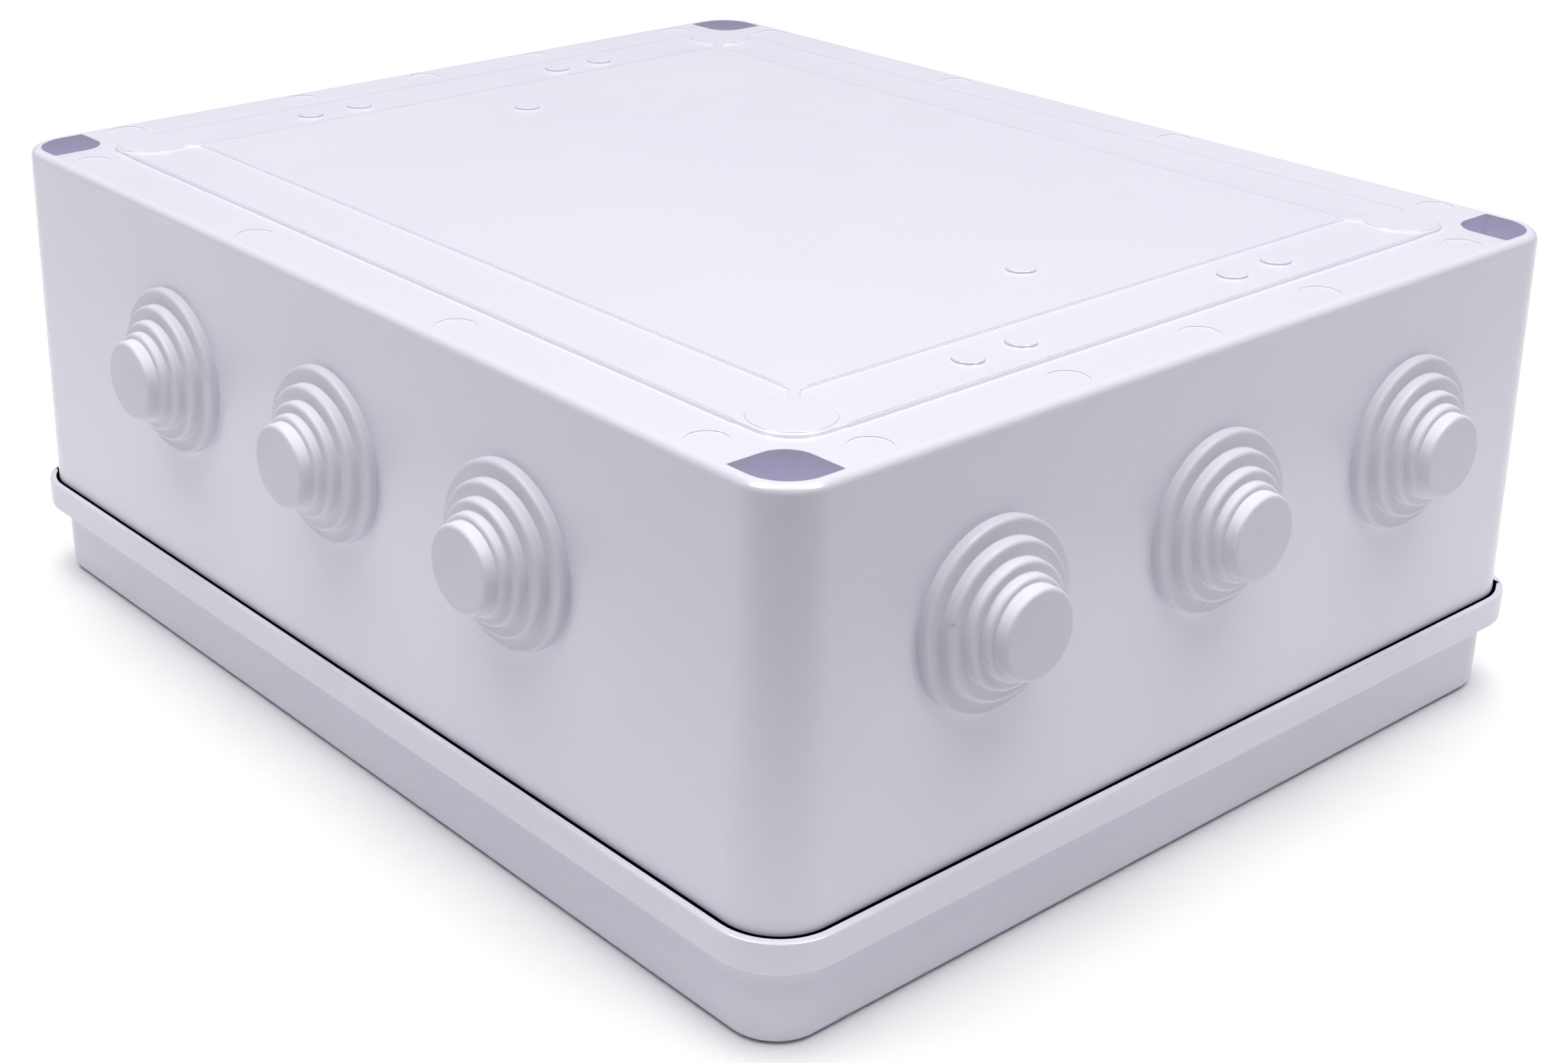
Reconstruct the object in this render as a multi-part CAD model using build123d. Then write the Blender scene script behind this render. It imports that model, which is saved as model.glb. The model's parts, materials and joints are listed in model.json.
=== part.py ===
from build123d import *
import math
import os

# Weatherproof junction box, lying on its cover with its back face up. Millimetres.
# X is the short side, Y the long side, Z up. The origin is under the middle of the
# box, on the outer face of the cover.

# Overall sizes
overall_width = 250.0        # over the cover's skirt, along X
overall_length = 300.0       # over the cover's skirt, along Y
overall_height = 118.0       # outer face of the cover to the tops of the back pads

# Cover
face_inset = 4.4             # the cover's face part is this much inside its skirt
face_thickness = 2.8
face_edge_radius = 2.2
skirt_foot_z = 19.0          # underside of the skirt
skirt_height = 7.1
skirt_wall = 2.0
skirt_edge_radius = 0.5
flange_thickness = 2.4
lip_wall = 1.5               # rib that stands up inside the mouth of the base
lip_overlap = 2.2            # how far the rib reaches into the base

# Gasket
gasket_thickness = 2.0
gasket_side_gap = 0.3

# Base
skirt_gap = 0.5              # between the base wall and the skirt
lip_gap = 0.5                # between the base wall and the rib
base_wall = 2.7
back_wall = 2.7
draft_angle = 1.0            # the side walls lean in towards the back
mouth_corner_radius = 13.5
back_edge_radius = 2.0

# Raised pattern on the back
panel_inset = 34.0           # from the side walls to the raised middle panel
band_rise = 0.6
panel_rise = 0.4
pad_rise = 0.6
panel_corner_radius = 1.2
corner_disc_inset = 25.6     # centre of each corner disc, from both side walls
corner_disc_radius = 9.2
band_step = 0.3              # the band is this much wider between its corners
band_step_reach = 5.3        # from the centre of a corner disc to that step
neck_width = 2.2             # web that joins each corner disc to the middle panel
pad_radius = 3.4
plate_boss_x = 33.4          # inner pair of bosses at each short side
outer_boss_x = 48.6          # outer pair
rail_boss_inset = 56.4       # two bosses on the long centre line, from the short walls
ejector_radius = 4.4
ejector_depth = 0.2
ejector_inset = 7.4
ejector_end_inset = 28.1     # last mark of each row, from the corner of the back
ejector_inner_x = 40.0       # marks beside the middle one on the short sides

# Corner pockets and screw columns
pocket_wall = 2.7
pocket_side = 14.8
pocket_outer_radius = 9.3
pocket_inner_radius = 6.5
pocket_floor_rise = 5.4      # pocket floor above the end of the screw's bore
pocket_floor_thickness = 2.5
screw_boss_wall = 2.6        # round the screw's thread
screw_boss_gap = 0.6         # between the boss and the cover's screw well
screw_boss_overhang = 0.8    # how far the boss stands out of the mouth

# Inside bosses for a plate or a rail
inner_boss_radius = 3.4
inner_boss_height = 12.0
inner_boss_hole_radius = 1.6
inner_boss_hole_depth = 12.5

# Cover screws: coarse thread, captive in the cover
thread_radius = 2.4
thread_clearance = 0.05
thread_engagement = 11.0
bore_extra_depth = 8.0
screw_hole_clearance = 0.2
head_overhang = 2.2          # head radius beyond the thread
head_height = 3.6
head_chamfer = 0.3
head_slot_width = 1.2
head_slot_depth = 1.8
head_slot_rim = 1.2          # left at each end of the slots
well_clearance = 0.6
well_wall = 1.8
seat_thickness = 2.5
tip_chamfer = 0.8
seal_thickness = 1.6
seal_width = 1.7
seal_clearance = 0.1

# Cable entries: stepped rubber grommets, three in each wall
entries_per_wall = 3
entry_pitch_long = 67.0
entry_pitch_short = 67.0
entry_drop = 38.7            # from the border of the back down to the entries
entry_hole_radius = 17.5
neck_clearance = 0.15
flange_overhang = 2.6        # first step beyond the hole
step_widths = (3.7, 3.25, 2.35, 1.35)    # from each step's edge in to the next one's
step_heights = (2.4, 5.0, 7.4, 9.6, 12.7)
step_edge_radius = 1.1
rubber_wall = 1.4
tail_overhang = 1.5          # lip behind the wall that keeps the grommet in
tail_taper = 1.1
tail_length = 2.5

# Worked out from the sizes above
drop = math.tan(math.radians(draft_angle))
flange_top_z = skirt_foot_z + flange_thickness
mouth_z = flange_top_z + gasket_thickness
skirt_top_z = skirt_foot_z + skirt_height
lip_top_z = mouth_z + lip_overlap
border_z = overall_height - band_rise - panel_rise - pad_rise
band_z = border_z + band_rise
panel_z = band_z + panel_rise
mouth_width = overall_width - 2 * (skirt_wall + skirt_gap)
mouth_length = overall_length - 2 * (skirt_wall + skirt_gap)
lean = (border_z - mouth_z) * drop
back_width = mouth_width - 2 * lean
back_length = mouth_length - 2 * lean
ceiling_z = border_z - back_wall
entry_z = border_z - entry_drop
disc_x = back_width / 2 - corner_disc_inset
disc_y = back_length / 2 - corner_disc_inset
plate_boss_y = disc_y
rail_boss_y = back_length / 2 - rail_boss_inset
lip_inset = skirt_wall + skirt_gap + base_wall + lip_gap
screw_inset = pocket_wall + pocket_side / 2
screw_x = back_width / 2 - screw_inset
screw_y = back_length / 2 - screw_inset
screw_boss_radius = thread_radius + screw_boss_wall
head_radius = thread_radius + head_overhang
well_bore_radius = head_radius + well_clearance
well_radius = well_bore_radius + well_wall
boss_foot_z = mouth_z - screw_boss_overhang
well_top_z = boss_foot_z - screw_boss_gap
seat_z = well_top_z - seat_thickness
head_top_z = seat_z - seal_thickness
head_foot_z = head_top_z - head_height
thread_top_z = boss_foot_z + thread_engagement
bore_top_z = thread_top_z + bore_extra_depth
pocket_floor_z = bore_top_z + pocket_floor_rise
column_side = pocket_wall + pocket_side + pocket_wall
neck_radius = entry_hole_radius - neck_clearance
tail_radius = entry_hole_radius + tail_overhang
step_radii = [entry_hole_radius + flange_overhang - sum(step_widths[:i]) for i in range(5)]
corners = [(sx, sy) for sy in (-1, 1) for sx in (-1, 1)]
corner_names = ("front_left", "front_right", "rear_left", "rear_right")
fit_margin = 1.0             # cutting tools run past the face they open


def slab(width, length, radius, low, high, taper=0.0):
    """Rounded rectangular block between two heights."""
    outline = Plane.XY.offset(low) * RectangleRounded(width, length, radius)
    return extrude(outline, high - low, taper=taper)


def rod(x, y, radius, low, high):
    """Upright round rod between two heights."""
    return extrude(Plane.XY.offset(low) * Pos(x, y) * Circle(radius), high - low)


def cover_slab(inset, low, high):
    """Block that follows the cover's outline, a given distance inside the skirt."""
    radius = mouth_corner_radius + skirt_gap + skirt_wall - inset
    return slab(overall_width - 2 * inset, overall_length - 2 * inset, radius, low, high)


def corner_square(sx, sy, inset, side, low, high, outer_radius=0.0, inner_radius=0.0):
    """Square block in a corner of the back, with two of its upright edges rounded."""
    x = sx * (back_width / 2 - inset - side / 2)
    y = sy * (back_length / 2 - inset - side / 2)
    block = extrude(Plane.XY.offset(low) * Pos(x, y) * Rectangle(side, side), high - low)
    for toward, radius in ((1, outer_radius), (-1, inner_radius)):
        if radius > 0:
            at = Vector(x + toward * sx * side / 2, y + toward * sy * side / 2, (low + high) / 2)
            edge = block.edges().filter_by(Axis.Z).sort_by_distance(at)[0]
            block = fillet(edge, radius)
    return block


def back_relief():
    """Raised band with corner discs, the middle panel on it, and the round pads."""
    panel_width = back_width - 2 * panel_inset
    panel_length = back_length - 2 * panel_inset
    band_width = 2 * (disc_x + corner_disc_radius)
    band_length = 2 * (disc_y + corner_disc_radius)
    sunk = border_z - back_wall / 2
    relief = slab(band_width, band_length, corner_disc_radius, sunk, band_z)
    for width, length in ((band_width + 2 * band_step, 2 * (disc_y - band_step_reach)),
                          (2 * (disc_x - band_step_reach), band_length + 2 * band_step)):
        relief += extrude(Plane.XY.offset(sunk) * Rectangle(width, length), band_z - sunk)
    relief += slab(panel_width, panel_length, panel_corner_radius, sunk, panel_z)
    neck_length = math.hypot(disc_x - panel_width / 2, disc_y - panel_length / 2) + 2 * neck_width
    for sx, sy in corners:
        relief += rod(sx * disc_x, sy * disc_y, corner_disc_radius, sunk, panel_z)
        middle = Pos(sx * (disc_x + panel_width / 2) / 2, sy * (disc_y + panel_length / 2) / 2)
        turned = middle * Rot(0, 0, 45 * sx * sy) * Rectangle(neck_length, neck_width)
        relief += extrude(Plane.XY.offset(sunk) * turned, panel_z - sunk)
        for x in (plate_boss_x, outer_boss_x):
            relief += rod(sx * x, sy * plate_boss_y, pad_radius, sunk, band_z + pad_rise)
    for sy in (-1, 1):
        relief += rod(0, sy * rail_boss_y, pad_radius, sunk, panel_z + pad_rise)
    return relief


def ejector_marks():
    """Shallow round marks in the border, four by the long walls and five by the short."""
    x = back_width / 2 - ejector_inset
    y = back_length / 2 - ejector_inset
    end_x = back_width / 2 - ejector_end_inset
    end_y = back_length / 2 - ejector_end_inset
    spots = [(s * x, t * end_y) for s in (-1, 1) for t in (-1, -1 / 3, 1 / 3, 1)]
    spots += [(u, s * y) for s in (-1, 1) for u in (-end_x, -ejector_inner_x, 0, ejector_inner_x, end_x)]
    top = border_z + fit_margin
    return [rod(px, py, ejector_radius, border_z - ejector_depth, top) for px, py in spots]


def inner_boss_places():
    """Where the bosses for a plate or a rail stand inside the back wall."""
    places = [(sx * x, sy * plate_boss_y) for x in (plate_boss_x, outer_boss_x) for sx, sy in corners]
    return places + [(0, -rail_boss_y), (0, rail_boss_y)]


def entry_planes():
    """Name and plane of every cable entry: the plane lies on the wall and faces outwards."""
    reach = (entry_z - mouth_z) * drop
    tilt = math.radians(draft_angle)
    planes = []
    for name, nx, ny in (("left", -1, 0), ("right", 1, 0), ("front", 0, -1), ("rear", 0, 1)):
        pitch = entry_pitch_long if nx else entry_pitch_short
        for i in range(entries_per_wall):
            along = (i - (entries_per_wall - 1) / 2) * pitch
            x = nx * (mouth_width / 2 - reach) if nx else along
            y = ny * (mouth_length / 2 - reach) if ny else along
            out = (nx * math.cos(tilt), ny * math.cos(tilt), math.sin(tilt))
            planes.append((f"{name}_{i + 1}", Plane((x, y, entry_z), x_dir=(-ny, nx, 0), z_dir=out)))
    return planes


def make_base():
    """Base shell: tapered box, open at its mouth, with the back on top."""
    shell = slab(mouth_width, mouth_length, mouth_corner_radius, mouth_z, border_z, draft_angle)
    shell = fillet(shell.edges().group_by(Axis.Z)[-1], back_edge_radius)
    columns = [corner_square(sx, sy, -lean, column_side + lean, pocket_floor_z - pocket_floor_thickness,
                             border_z, 0, pocket_inner_radius) & shell for sx, sy in corners]
    cavity = slab(mouth_width - 2 * base_wall, mouth_length - 2 * base_wall,
                  mouth_corner_radius - base_wall, mouth_z, ceiling_z, draft_angle)
    base = shell - cavity
    for column, (sx, sy) in zip(columns, corners):
        base += column
        base += rod(sx * screw_x, sy * screw_y, screw_boss_radius, boss_foot_z, pocket_floor_z)
    base += back_relief()
    for x, y in inner_boss_places():
        base += rod(x, y, inner_boss_radius, ceiling_z - inner_boss_height, border_z)
    for sx, sy in corners:
        base -= corner_square(sx, sy, pocket_wall, pocket_side, pocket_floor_z, border_z + fit_margin,
                              pocket_outer_radius, pocket_inner_radius)
        bore = thread_radius + thread_clearance
        base -= rod(sx * screw_x, sy * screw_y, bore, boss_foot_z - fit_margin, bore_top_z)
    for x, y in inner_boss_places():
        low = ceiling_z - inner_boss_height - fit_margin
        base -= rod(x, y, inner_boss_hole_radius, low, low + fit_margin + inner_boss_hole_depth)
    for mark in ejector_marks():
        base -= mark
    through = base_wall + 2 * fit_margin
    for _, plane in entry_planes():
        hole = extrude(plane.offset(fit_margin) * Circle(entry_hole_radius), -through)
        base -= hole
    return base


def make_cover():
    """Cover: shallow tray with a skirt round the base, a gasket channel and screw wells."""
    tray = cover_slab(face_inset, 0, flange_top_z)
    tray = fillet(tray.edges().group_by(Axis.Z)[0], face_edge_radius)
    rim = cover_slab(0, skirt_foot_z, skirt_top_z)
    rim = fillet(rim.edges().group_by(Axis.Z)[-1] + rim.edges().group_by(Axis.Z)[0], skirt_edge_radius)
    cover = tray + rim
    cover -= cover_slab(skirt_wall, flange_top_z, skirt_top_z + fit_margin)
    cover += cover_slab(lip_inset, flange_top_z - flange_thickness, lip_top_z)
    cover -= cover_slab(lip_inset + lip_wall, face_thickness, lip_top_z + fit_margin)
    for sx, sy in corners:
        cover += rod(sx * screw_x, sy * screw_y, well_radius, face_thickness / 2, well_top_z)
    for sx, sy in corners:
        cover -= rod(sx * screw_x, sy * screw_y, well_bore_radius, -fit_margin, seat_z)
        hole = thread_radius + screw_hole_clearance
        cover -= rod(sx * screw_x, sy * screw_y, hole, 0, well_top_z + fit_margin)
    return cover


def make_gasket():
    """Flat rubber ring in the cover's channel, under the rim of the base."""
    outer = cover_slab(skirt_wall + gasket_side_gap, flange_top_z, mouth_z)
    return outer - cover_slab(lip_inset - gasket_side_gap, flange_top_z - fit_margin, mouth_z + fit_margin)


def make_grommet():
    """Stepped rubber cone, hollow behind, its flange on the plane z = 0."""
    tail_z = -base_wall - tail_length
    foots = (0.0,) + step_heights[:-1]
    outline = [(0, step_heights[-1])]
    for radius, foot, top in reversed(list(zip(step_radii, foots, step_heights))):
        outline += [(radius, top), (radius, foot)]
    outline += [(neck_radius, 0), (neck_radius, -base_wall), (tail_radius, -base_wall)]
    outline += [(tail_radius - tail_taper, tail_z), (neck_radius - rubber_wall, tail_z)]
    inner_radii = [min(radius, neck_radius) - rubber_wall for radius in step_radii]
    roofs = [top - rubber_wall for top in step_heights]
    for radius, next_radius, roof in zip(inner_radii, inner_radii[1:] + [0], roofs):
        outline += [(radius, roof), (next_radius, roof)]
    section = make_face(Polyline(*[Vector(r, 0, h) for r, h in outline], close=True))
    lips = [v for v in section.vertices() for radius, top in zip(step_radii, step_heights)
            if math.hypot(v.X - radius, v.Z - top) < step_edge_radius / 2]
    return revolve(fillet(lips, step_edge_radius), Axis.Z, 360)


def make_screw():
    """Cover screw on its own axis, at its height in the box, with the head down."""
    screw = rod(0, 0, head_radius, head_foot_z, head_top_z)
    screw = chamfer(screw.edges().group_by(Axis.Z)[0], head_chamfer)
    shank = rod(0, 0, thread_radius, head_top_z, thread_top_z)
    screw += chamfer(shank.edges().group_by(Axis.Z)[-1], tip_chamfer)
    slot_length = 2 * (head_radius - head_slot_rim)
    for turn in (0, 90):
        bar = Rot(0, 0, turn) * Rectangle(slot_length, head_slot_width)
        screw -= extrude(Plane.XY.offset(head_foot_z) * bar, head_slot_depth)
    return screw


def make_seal():
    """Rubber washer between the screw head and its seat."""
    bore = thread_radius + seal_clearance
    return rod(0, 0, bore + seal_width, head_top_z, seat_z) - rod(0, 0, bore, head_top_z, seat_z)


def main():
    os.makedirs("parts", exist_ok=True)
    nodes = {"base_shell": make_base(), "cover": make_cover(), "cover_gasket": make_gasket()}
    grommet = make_grommet()
    for name, plane in entry_planes():
        nodes[f"grommet_{name}"] = plane.location * grommet
    screw = make_screw()
    seal = make_seal()
    for name, (sx, sy) in zip(corner_names, corners):
        nodes[f"cover_screw_{name}"] = Pos(sx * screw_x, sy * screw_y) * screw
        nodes[f"screw_seal_{name}"] = Pos(sx * screw_x, sy * screw_y) * seal
    for name, shape in nodes.items():
        export_step(shape, f"parts/{name}.step")


main()
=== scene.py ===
import json
from math import asin, atan2, cos, degrees, hypot, pi, radians, sin, sqrt, tan

import bmesh
import bpy
from mathutils import Matrix, Vector


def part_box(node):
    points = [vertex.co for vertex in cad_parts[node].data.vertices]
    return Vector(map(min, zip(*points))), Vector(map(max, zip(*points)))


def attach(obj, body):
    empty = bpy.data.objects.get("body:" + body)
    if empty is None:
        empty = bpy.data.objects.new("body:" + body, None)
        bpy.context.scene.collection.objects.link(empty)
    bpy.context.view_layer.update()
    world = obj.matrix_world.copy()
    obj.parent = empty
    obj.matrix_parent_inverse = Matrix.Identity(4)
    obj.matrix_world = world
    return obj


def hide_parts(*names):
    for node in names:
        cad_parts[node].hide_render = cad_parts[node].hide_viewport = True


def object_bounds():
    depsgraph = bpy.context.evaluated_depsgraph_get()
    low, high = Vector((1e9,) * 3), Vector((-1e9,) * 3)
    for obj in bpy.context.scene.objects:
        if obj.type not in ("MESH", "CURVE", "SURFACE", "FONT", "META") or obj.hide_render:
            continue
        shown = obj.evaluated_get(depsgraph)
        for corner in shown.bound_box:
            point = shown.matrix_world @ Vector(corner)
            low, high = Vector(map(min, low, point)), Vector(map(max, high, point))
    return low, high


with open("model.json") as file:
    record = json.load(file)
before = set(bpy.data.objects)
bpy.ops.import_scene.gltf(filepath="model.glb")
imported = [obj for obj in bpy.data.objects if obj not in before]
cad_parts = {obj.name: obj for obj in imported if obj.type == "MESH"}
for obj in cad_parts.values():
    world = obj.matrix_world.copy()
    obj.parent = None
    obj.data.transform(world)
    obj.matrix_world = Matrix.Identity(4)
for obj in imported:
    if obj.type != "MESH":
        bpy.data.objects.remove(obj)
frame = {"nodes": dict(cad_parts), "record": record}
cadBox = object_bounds()
mounts = {m["name"]: (Vector(m["pos_m"]), Vector(m["axis"])) for m in frame["record"]["mounts"]}
corners = {"rear_right": (1, 1), "rear_left": (-1, 1), "front_left": (-1, -1), "front_right": (1, -1)}
sides = ("left", "right", "front", "rear")
print("frame loaded:", len(frame["nodes"]), "nodes")


# Outlines and lofts. An arc is (centre x, centre y, radius, start, sweep, steps), in metres and degrees.

def cornerPoint(x, y):
    return (x, y, 0.0, 0, 0, 0)


def turned(arcs, sx, sy):
    # the arcs of the +X +Y corner, carried to another corner and still running anticlockwise
    out = []
    for cx, cy, radius, start, sweep, steps in arcs:
        if sx * sy > 0:
            start = start + (180 if sx < 0 else 0)
        else:
            start = (180 if sx < 0 else 0) - (start + sweep)
        out.append((sx * cx, sy * cy, radius, start, sweep, steps))
    return out if sx * sy > 0 else out[::-1]


def allCorners(arcs):
    return [arc for sx, sy in corners.values() for arc in turned(arcs, sx, sy)]


def roundedBox(halfX, halfY, radius, steps=14):
    return allCorners([(halfX - radius, halfY - radius, radius, 0, 90, steps)])


def addArc(bm, arc, z):
    cx, cy, radius, start, sweep, steps = arc
    at = (cx + radius * cos(radians(start)), cy + radius * sin(radians(start)), z)
    first = bmesh.ops.create_vert(bm, co=at)["vert"]
    count = len(bm.verts)
    if steps:
        bmesh.ops.spin(bm, geom=first, cent=(cx, cy, z), axis=(0, 0, 1), angle=radians(sweep), steps=steps)
    bm.verts.ensure_lookup_table()
    return first + bm.verts[count:]


def joinRun(bm, verts):
    # edges along a run of verts, made where they are missing
    return [bm.edges.get(pair) or bm.edges.new(pair) for pair in zip(verts, verts[1:])]


def addRun(bm, arcs, z):
    # the verts of a closed outline; arcs that touch share the vert where they meet
    verts = []
    for arc in arcs:
        made = addArc(bm, arc, z)
        if verts and (verts[-1].co - made[0].co).length < 1e-6:
            bmesh.ops.weld_verts(bm, targetmap={made[0]: verts[-1]})
            made = made[1:]
        verts += made
    return verts


def addOutline(bm, arcs, z):
    verts = addRun(bm, arcs, z)
    return joinRun(bm, verts + verts[:1])


def addRing(bm, x, y, radius, z, steps=40):
    place = Matrix.Translation((x, y, z))
    ring = bmesh.ops.create_circle(bm, segments=steps, radius=radius, matrix=place)["verts"]
    return list({edge for v in ring for edge in v.link_edges})


def bridge(bm, loops):
    for low, high in zip(loops, loops[1:]):
        bmesh.ops.bridge_loops(bm, edges=low + high)
    return loops


def loft(bm, levels):
    # levels are (arcs, z) pairs
    return bridge(bm, [addOutline(bm, arcs, z) for arcs, z in levels])


def pipe(bm, x, y, levels, steps=40):
    # levels are (radius, z) pairs
    return bridge(bm, [addRing(bm, x, y, radius, z, steps) for radius, z in levels])


def fillFlat(bm, loops, normal=(0, 0, 1)):
    # the fill is made at a slant, because it goes wrong where many verts lie in one row
    edges = [edge for loop in loops for edge in loop]
    verts = list({v for edge in edges for v in edge.verts})
    slant = Matrix.Rotation(radians(23), 3, Vector(normal))
    bmesh.ops.rotate(bm, verts=verts, cent=(0, 0, 0), matrix=slant)
    bmesh.ops.triangle_fill(bm, use_beauty=True, use_dissolve=False, edges=edges, normal=normal)
    bmesh.ops.rotate(bm, verts=verts, cent=(0, 0, 0), matrix=slant.inverted())


def roundOff(radius, z, steps=3):
    # (grow, z) pairs of a rounded edge that ends on a flat face at z
    turns = [radians(90 * i / steps) for i in range(steps + 1)]
    return [(-radius * (1 - cos(a)), z - radius * (1 - sin(a))) for a in turns]


def finishPiece(bm, name, material, body, nodes, sharp=38):
    # closes a mesh, points its faces outwards and puts it in place of its CAD nodes
    bmesh.ops.remove_doubles(bm, verts=bm.verts, dist=1e-7)
    bmesh.ops.recalc_face_normals(bm, faces=bm.faces)
    if bm.calc_volume(signed=True) < 0:
        bmesh.ops.reverse_faces(bm, faces=bm.faces)
    for face in bm.faces:
        face.smooth = True
    for edge in bm.edges:
        edge.smooth = len(edge.link_faces) == 2 and edge.calc_face_angle(0.0) < radians(sharp)
    openEdges = sum(not edge.is_manifold for edge in bm.edges)
    mesh = bpy.data.meshes.new(name)
    bm.to_mesh(mesh)
    bm.free()
    mesh.materials.append(material)
    piece = bpy.data.objects.new(name, mesh)
    bpy.context.scene.collection.objects.link(piece)
    weighted = piece.modifiers.new("flatFaces", "WEIGHTED_NORMAL")
    weighted.keep_sharp = True
    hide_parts(*nodes)
    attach(piece, body)
    print("made", name, len(mesh.polygons), "faces,", openEdges, "open edges")
    return piece


def newFinish(name, look):
    # moulded surface: slow drift of tone, fine skin in the bump, a gloss that varies a little, and painted
    # shade with a painted glow in folds and gaps
    material = bpy.data.materials.new(name)
    material.use_nodes = True
    nodes, links = material.node_tree.nodes, material.node_tree.links
    shader = nodes["Principled BSDF"]
    shader.inputs["IOR"].default_value = look["ior"]
    place = nodes.new("ShaderNodeTexCoord")

    def noise(scale, detail, roughness=0.5):
        made = nodes.new("ShaderNodeTexNoise")
        made.inputs["Scale"].default_value = scale
        made.inputs["Detail"].default_value = detail
        made.inputs["Roughness"].default_value = roughness
        links.new(place.outputs["Object"], made.inputs["Vector"])
        return made.outputs["Fac"]

    def ramp(source, low, high, lowColour, highColour):
        made = nodes.new("ShaderNodeValToRGB")
        made.color_ramp.elements[0].position = low
        made.color_ramp.elements[1].position = high
        made.color_ramp.elements[0].color = (*lowColour, 1)
        made.color_ramp.elements[1].color = (*highColour, 1)
        links.new(source, made.inputs["Fac"])
        return made.outputs["Color"]

    def spread(source, low, high):
        made = nodes.new("ShaderNodeMapRange")
        made.inputs["From Min"].default_value = 0.3
        made.inputs["From Max"].default_value = 0.7
        made.inputs["To Min"].default_value = low
        made.inputs["To Max"].default_value = high
        links.new(source, made.inputs["Value"])
        return made.outputs["Result"]

    def blend(low, high, factor):
        mix = nodes.new("ShaderNodeMix")
        mix.data_type = "RGBA"
        for socket, value in (("A", low), ("B", high)):
            if isinstance(value, tuple):
                mix.inputs[socket].default_value = (*value, 1)
            else:
                links.new(value, mix.inputs[socket])
        links.new(factor, mix.inputs["Factor"])
        return mix.outputs["Result"]

    tone = ramp(noise(look["driftScale"], 3), 0.35, 0.65, look["colour"], look["drift"])
    speckFrom = look["speckFrom"]
    specks = ramp(noise(look["speckScale"], 2), speckFrom, speckFrom + 0.04, (0, 0, 0), (1, 1, 1))
    # painted shade: where the surface folds in on itself (on the shell, also where another part comes close),
    # the colour is blended towards a darker colour, standing in for shade there and for light that soaks
    # through the wall
    hollow = nodes.new("ShaderNodeAmbientOcclusion")
    hollow.samples, hollow.only_local = 8, look["hollowLocal"]
    hollow.inputs["Distance"].default_value = look["hollowReach"]
    openness = nodes.new("ShaderNodeMapRange")
    openness.inputs["From Min"].default_value, openness.inputs["From Max"].default_value = look["hollowFrom"]
    links.new(hollow.outputs["AO"], openness.inputs["Value"])
    toneWithPaintedShade = blend(look["hollow"], tone, openness.outputs["Result"])
    # painted glow: an emission that grows where the painted shade is deepest, as if light soaked through the
    # wall
    links.new(blend(look["paintedGlow"], (0, 0, 0), openness.outputs["Result"]), shader.inputs["Emission Color"])
    shader.inputs["Emission Strength"].default_value = 1
    links.new(blend(toneWithPaintedShade, look["speck"], specks), shader.inputs["Base Color"])
    links.new(spread(noise(look["glossScale"], 4, 0.6), *look["roughness"]), shader.inputs["Roughness"])
    skin = nodes.new("ShaderNodeBump")
    skin.inputs["Strength"].default_value = look["skinStrength"]
    skin.inputs["Distance"].default_value = look["skinDepth"]
    links.new(noise(look["skinScale"], look["skinDetail"], 0.55), skin.inputs["Height"])
    links.new(skin.outputs["Normal"], shader.inputs["Normal"])
    return material


# in each look, the colour for folds and gaps is painted shade, and the emission there is a painted glow
shellLook = dict(colour=(0.770, 0.764, 0.858), drift=(0.780, 0.774, 0.866), driftScale=14,
                 speck=(0.66, 0.65, 0.74), speckScale=110, speckFrom=0.80, glossScale=30,
                 roughness=(0.22, 0.27), skinScale=420, skinDetail=1, skinStrength=0.06,
                 skinDepth=0.00008, hollow=(0.66, 0.65, 0.80), hollowFrom=(0.05, 0.72), hollowReach=0.020,
                 hollowLocal=False, paintedGlow=(0.074, 0.070, 0.098), ior=1.50)
coverLook = dict(shellLook, colour=(0.755, 0.748, 0.840), drift=(0.765, 0.758, 0.848), roughness=(0.29, 0.35),
                 hollow=(0.68, 0.67, 0.77), hollowLocal=True, paintedGlow=(0.0, 0.0, 0.0))
grommetLook = dict(colour=(0.700, 0.688, 0.762), drift=(0.720, 0.708, 0.780), driftScale=60,
                   speck=(0.58, 0.57, 0.61), speckScale=420, speckFrom=0.76, glossScale=160,
                   roughness=(0.52, 0.68), skinScale=2200, skinDetail=5, skinStrength=0.22,
                   skinDepth=0.00010, hollow=(0.52, 0.51, 0.64), hollowFrom=(0.0, 0.5), hollowReach=0.006,
                   hollowLocal=True, paintedGlow=(0.0, 0.0, 0.0), ior=1.46)
gasketLook = dict(grommetLook, colour=(0.34, 0.335, 0.375), drift=(0.38, 0.375, 0.415),
                  speck=(0.13, 0.13, 0.15), speckScale=1500, speckFrom=0.62, roughness=(0.7, 0.9),
                  skinScale=1400, skinStrength=0.7, skinDepth=0.0003, hollow=(0.30, 0.29, 0.36),
                  paintedGlow=(0.05, 0.048, 0.085))
sealLook = dict(grommetLook, colour=(0.022, 0.022, 0.024), drift=(0.035, 0.035, 0.037),
                speck=(0.06, 0.06, 0.06), roughness=(0.42, 0.55), skinScale=1800,
                hollow=(0.02, 0.02, 0.02))
screwLook = dict(shellLook, colour=(0.30, 0.31, 0.34), drift=(0.33, 0.34, 0.37), driftScale=90,
                 speck=(0.20, 0.20, 0.22), speckScale=900, glossScale=300, roughness=(0.36, 0.50),
                 skinScale=1600, skinStrength=0.2, hollow=(0.2, 0.2, 0.23), paintedGlow=(0.0, 0.0, 0.0))
shellFinish = newFinish("moulded_shell", shellLook)
coverFinish = newFinish("moulded_cover", coverLook)
grommetFinish = newFinish("soft_grommet", grommetLook)
gasketFinish = newFinish("foam_gasket", gasketLook)
sealFinish = newFinish("smooth_washer", sealLook)
screwFinish = newFinish("moulded_screw", screwLook)
print("finishes made")


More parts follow.
